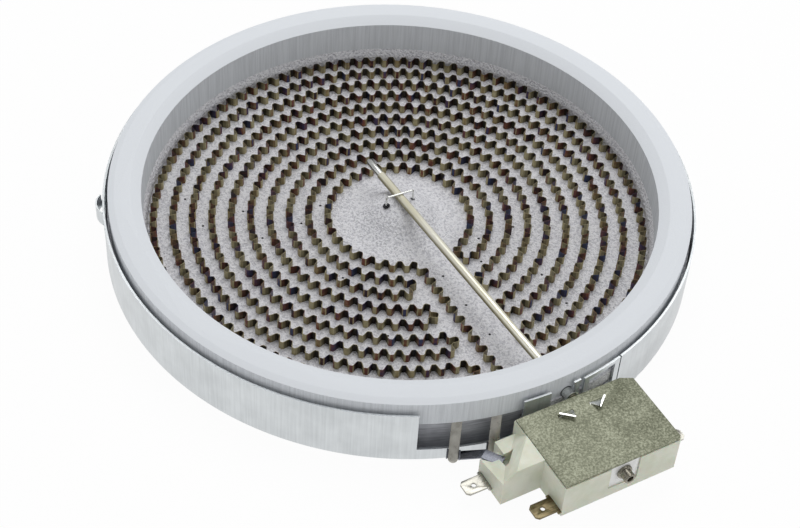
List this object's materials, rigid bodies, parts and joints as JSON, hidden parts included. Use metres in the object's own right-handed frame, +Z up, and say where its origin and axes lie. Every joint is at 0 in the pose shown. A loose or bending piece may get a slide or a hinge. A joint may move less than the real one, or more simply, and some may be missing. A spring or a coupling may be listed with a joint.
{
  "type": "radiant surface element",
  "caption": "Round radiant heater for a glass hob: pressed tray, dished insulation, concentric corrugated ribbon, milled ring, sensor rod and side limiter with push-on tabs",
  "frame": {"origin": "centre of the tray's flat underside, on the supporting plane", "axes": "+Z up out of the open face to the glass; the limiter stands on the -Y side with its long sides along X; +X to the right seen from the limiter"},
  "size_m": [0.23, 0.2684, 0.029],
  "materials": {
    "tray": "aluminised pressed sheet, faint vertical drawing marks",
    "insulation_base": "pressed microporous board with a stippled face",
    "insulating_ring": "milled mineral ring, pale grey-white",
    "heating_ribbon": "heat-tinted resistance alloy",
    "terminal_left": "bright strip",
    "terminal_right": "bright strip",
    "recess_shield": "dark strip with horizontal brushing",
    "link_strap_left": "dull strip",
    "link_strap_right": "dull strip",
    "rod_tube": "cream tube with a straw tint",
    "rod_core": "plain drawn rod",
    "rod_end_cap": "bright cap",
    "rod_neck": "bright turned holder",
    "rod_staple": "bare wire",
    "limiter_body": "pressed steatite, pale green-cream",
    "cover_plate": "fine-grained olive-grey sheet",
    "mounting_bracket": "bright sheet",
    "tab_left": "plated steel with a brass tint",
    "tab_front": "plated steel with a brass tint",
    "tab_signal": "plated steel",
    "front_plate": "bright sheet",
    "adjusting_bush": "turned and plated",
    "load_spring": "copper-alloy blade",
    "load_post": "copper-alloy post",
    "signal_spring": "copper-alloy blade",
    "contact_rivets": "silver contact faces",
    "push_pin": "glazed pin"
  },
  "bodies": {
    "root": {"tray": "tray", "insulation_base": "insulation_base", "insulating_ring": "insulating_ring", "heating_ribbon": "heating_ribbon", "terminal_left": "terminal_left", "terminal_right": "terminal_right", "recess_shield": "recess_shield", "link_strap_left": "link_strap_left", "link_strap_right": "link_strap_right", "rod_tube": "rod_tube", "rod_core": "rod_core", "rod_end_cap": "rod_end_cap", "rod_neck": "rod_neck", "rod_staple": "rod_staple", "limiter_body": "limiter_body", "cover_plate": "cover_plate", "mounting_bracket": "mounting_bracket", "tab_left": "tab_left", "tab_front": "tab_front", "tab_signal": "tab_signal", "front_plate": "front_plate", "adjusting_bush": "adjusting_bush", "load_spring": "load_spring", "load_post": "load_post", "signal_spring": "signal_spring", "contact_rivets": "contact_rivets", "push_pin": "push_pin"}
  },
  "joints": []
}
